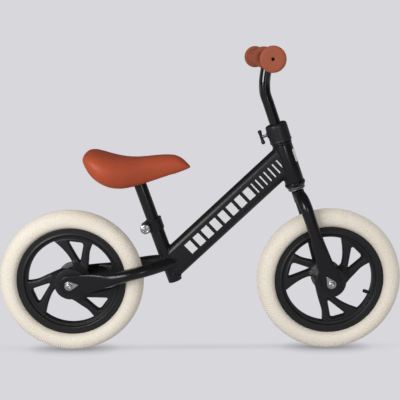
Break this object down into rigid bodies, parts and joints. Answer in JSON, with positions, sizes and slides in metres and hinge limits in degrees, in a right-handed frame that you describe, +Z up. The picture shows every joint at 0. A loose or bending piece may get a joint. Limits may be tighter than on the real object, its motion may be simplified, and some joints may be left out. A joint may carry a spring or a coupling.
{
  "type": "balance bike",
  "caption": "Child's balance bike with a steering fork, moulded wheels, and a handlebar and saddle that slide up and down on clamped tubes.",
  "frame": {"origin": "on the ground, midway between the wheel axles, in the bike's middle plane", "axes": "+X the way it rolls, +Y the rider's left, +Z up"},
  "size_m": [0.8284, 0.4294, 0.6237],
  "materials": {
    "frame_paint": "satin black powder coat",
    "gloss_paint": "gloss black paint",
    "moulded_black": "moulded black nylon, lightly textured",
    "cream_tyre": "cream rubber, ribbed tread",
    "tube_rubber": "black butyl",
    "saddle_cover": "terracotta moulded skin with fine grain",
    "grip_rubber": "terracotta soft rubber",
    "bright_steel": "bright zinc and chrome",
    "bearing_steel": "machined steel"
  },
  "bodies": {
    "frame": {"main_beam": "frame_paint", "right_chainstay": "frame_paint", "left_chainstay": "frame_paint", "head_tube": "frame_paint", "lower_headset_cup": "frame_paint", "lower_headset_bearing": "bearing_steel", "upper_headset_cup": "frame_paint", "upper_headset_bearing": "bearing_steel", "seat_tube": "frame_paint", "seat_clamp_collar": "frame_paint", "seat_clamp_skewer": "bright_steel", "seat_clamp_nut": "bright_steel", "seat_clamp_washer": "bright_steel", "rear_axle": "bearing_steel", "rear_axle_sleeve": "bearing_steel", "rear_axle_spacer_right": "bearing_steel", "rear_axle_spacer_left": "bearing_steel", "rear_axle_washer_right": "bright_steel", "rear_axle_washer_left": "bright_steel", "rear_axle_bolt_right": "bright_steel", "rear_axle_bolt_left": "bright_steel"},
    "seat": {"seat_post": "gloss_paint", "saddle_bracket": "bearing_steel", "saddle_base": "moulded_black", "saddle_pad": "saddle_cover"},
    "clamp_lever": {"seat_clamp_lever": "gloss_paint"},
    "fork": {"right_fork_leg": "frame_paint", "left_fork_leg": "frame_paint", "steerer_tube": "frame_paint", "crown_race": "bearing_steel", "stem_clamp_collar": "bearing_steel", "stem_clamp_cover": "moulded_black", "front_axle": "bearing_steel", "front_axle_sleeve": "bearing_steel", "front_axle_spacer_right": "bearing_steel", "front_axle_spacer_left": "bearing_steel", "front_axle_washer_right": "bright_steel", "front_axle_washer_left": "bright_steel", "front_axle_bolt_right": "bright_steel", "front_axle_bolt_left": "bright_steel"},
    "clamp_screw": {"clamp_screw_stud": "bright_steel", "clamp_screw_bar": "moulded_black"},
    "handlebar": {"handlebar_stem": "gloss_paint", "handlebar_crossbar": "gloss_paint", "right_grip": "grip_rubber", "left_grip": "grip_rubber"},
    "front_wheel_set": {"front_tyre": "cream_tyre", "front_inner_tube": "tube_rubber", "front_wheel": "moulded_black", "front_bearing_right": "bearing_steel", "front_bearing_left": "bearing_steel", "front_valve_stem": "tube_rubber", "front_valve_cap": "tube_rubber"},
    "rear_wheel_set": {"rear_tyre": "cream_tyre", "rear_inner_tube": "tube_rubber", "rear_wheel": "moulded_black", "rear_bearing_right": "bearing_steel", "rear_bearing_left": "bearing_steel", "rear_valve_stem": "tube_rubber", "rear_valve_cap": "tube_rubber"}
  },
  "joints": [
    {"name": "steering", "type": "hinge", "parent": "frame", "child": "fork", "pos_m": [0.26286, 0, 0.14752], "axis": [-0.3256, 0, 0.9455], "continuous": true},
    {"name": "front_wheel_spin", "type": "hinge", "parent": "fork", "child": "front_wheel_set", "pos_m": [0.2657, 0, 0.1485], "axis": [0, 1, 0], "continuous": true},
    {"name": "rear_wheel_spin", "type": "hinge", "parent": "frame", "child": "rear_wheel_set", "pos_m": [-0.2657, 0, 0.1485], "axis": [0, 1, 0], "continuous": true},
    {"name": "handlebar_height", "type": "slide", "parent": "fork", "child": "handlebar", "axis": [-0.3256, 0, 0.9455], "range_m": [-0.035, 0.045]},
    {"name": "clamp_screw_turn", "type": "hinge", "parent": "fork", "child": "clamp_screw", "pos_m": [0.12415, 0, 0.44349], "axis": [0.9455, 0, 0.3256], "continuous": true},
    {"name": "seat_height", "type": "slide", "parent": "frame", "child": "seat", "axis": [-0.3256, 0, 0.9455], "range_m": [-0.045, 0.05]},
    {"name": "seat_clamp_open", "type": "hinge", "parent": "frame", "child": "clamp_lever", "pos_m": [-0.11126, 0.0236, 0.25979], "axis": [0.6293, 0, 0.7771], "range_deg": [0, 175]}
  ]
}
